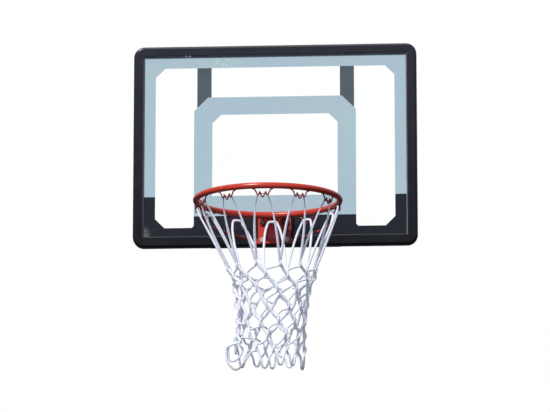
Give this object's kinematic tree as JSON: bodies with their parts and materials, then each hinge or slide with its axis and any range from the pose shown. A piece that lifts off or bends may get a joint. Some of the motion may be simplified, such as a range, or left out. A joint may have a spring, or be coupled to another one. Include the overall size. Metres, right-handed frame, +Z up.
{
  "type": "basketball backboard",
  "caption": "Framed clear backboard with printed target square, rear uprights, bolted steel ring on a braced bracket, wire net hooks and a hanging cord net that swings.",
  "frame": {"origin": "centre of the four mounting holes, on the plane of the uprights' rear faces", "axes": "+Z up, the board faces -Y and the ring stands out along -Y, +X to the right seen from the front"},
  "size_m": [0.813, 0.54, 1],
  "materials": {
    "frame_plastic": "moulded satin black",
    "clear_sheet": "clear polycarbonate sheet",
    "light_print": "pale blue-grey printed film",
    "dark_print": "black printed film",
    "gasket_rubber": "matt",
    "upright_steel": "dark grey powder coat",
    "cap_plastic": "moulded black",
    "zinc_steel": "zinc plated",
    "rim_paint": "red-orange gloss paint",
    "net_cord": "white braided cord"
  },
  "bodies": {
    "backboard": {"front_frame": "frame_plastic", "rear_frame": "frame_plastic", "frame_screws": "zinc_steel", "clear_panel": "clear_sheet", "panel_gasket": "gasket_rubber", "border_film": "light_print", "target_film": "light_print", "base_film": "dark_print", "left_upright": "upright_steel", "right_upright": "upright_steel", "upright_caps": "cap_plastic", "upright_screws": "zinc_steel", "mount_nuts": "zinc_steel", "cross_channel": "upright_steel", "rim_ring": "rim_paint", "rim_back_plate": "rim_paint", "rim_top_plate": "rim_paint", "left_gusset": "rim_paint", "right_gusset": "rim_paint", "rim_spacer": "cap_plastic", "left_brace": "rim_paint", "right_brace": "rim_paint", "net_hooks": "rim_paint", "rim_bolts": "zinc_steel", "rim_front_washers": "zinc_steel", "rim_rear_washers": "zinc_steel", "rim_nuts": "zinc_steel", "bolt_sleeves": "zinc_steel", "net_top_loops": "net_cord"},
    "net_upper": {"net_upper_mesh": "net_cord"},
    "net_lower": {"net_lower_mesh": "net_cord"}
  },
  "joints": [
    {"name": "net_swing_fore_aft", "type": "hinge", "parent": "backboard", "child": "net_upper", "pos_m": [0, -0.3325, -0.247], "axis": [1, 0, 0], "range_deg": [-12, 12]},
    {"name": "net_swing_side", "type": "hinge", "parent": "net_upper", "child": "net_lower", "pos_m": [0, -0.3325, -0.247], "axis": [0, 1, 0], "range_deg": [-12, 12]}
  ]
}
